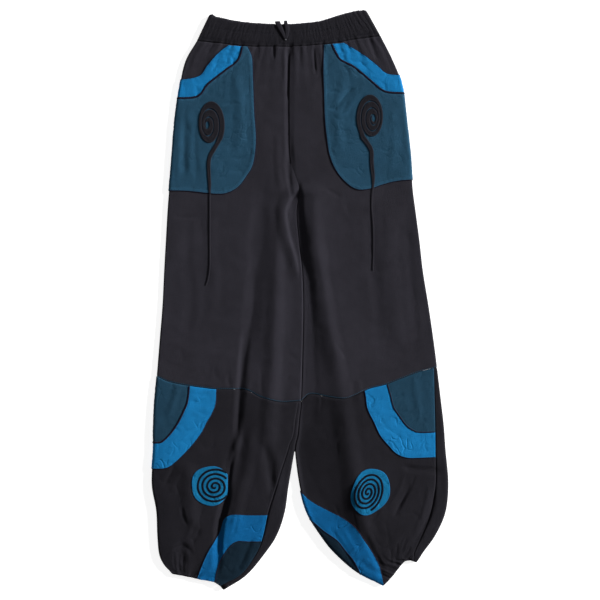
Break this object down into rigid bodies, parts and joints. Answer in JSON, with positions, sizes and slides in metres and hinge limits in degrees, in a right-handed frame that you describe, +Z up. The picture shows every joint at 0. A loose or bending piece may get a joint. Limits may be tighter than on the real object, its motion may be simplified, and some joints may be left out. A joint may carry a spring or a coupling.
{
  "type": "elastic-waist balloon-leg cotton trousers, laid flat",
  "caption": "Loose balloon-leg cotton trousers laid flat, with patch pockets, wound strip appliques, curved knee and hem patches and an elastic drawstring waist.",
  "frame": {"origin": "centre of the bounding box, at the level of the surface that the trousers lie on", "axes": "+X to the right as the front is seen from above, +Y towards the waist, +Z up out of the front of the cloth"},
  "size_m": [0.5261, 1.0281, 0.0186],
  "materials": {
    "black_cotton": "matte woven cotton",
    "teal_cotton": "matte woven cotton",
    "deep_teal_cotton": "matte woven cotton",
    "blue_cotton": "matte woven cotton"
  },
  "bodies": {
    "root": {"waistband": "black_cotton", "upper_front_left": "black_cotton", "upper_front_right": "black_cotton", "upper_back_left": "black_cotton", "upper_back_right": "black_cotton", "lower_front_left": "black_cotton", "lower_front_right": "black_cotton", "lower_back_left": "black_cotton", "lower_back_right": "black_cotton", "pocket_coil_left": "black_cotton", "pocket_coil_right": "black_cotton", "drawstring_left": "black_cotton", "drawstring_right": "black_cotton", "pocket_left": "teal_cotton", "pocket_right": "teal_cotton", "knee_quarter_left": "teal_cotton", "knee_quarter_right": "teal_cotton", "hem_corner_left": "deep_teal_cotton", "hem_corner_right": "deep_teal_cotton", "mouth_trim_left": "blue_cotton", "mouth_trim_right": "blue_cotton", "knee_band_left": "blue_cotton", "knee_band_right": "blue_cotton", "shin_disc_left": "blue_cotton", "shin_disc_right": "blue_cotton", "hem_band_left": "blue_cotton", "hem_band_right": "blue_cotton"}
  },
  "joints": []
}
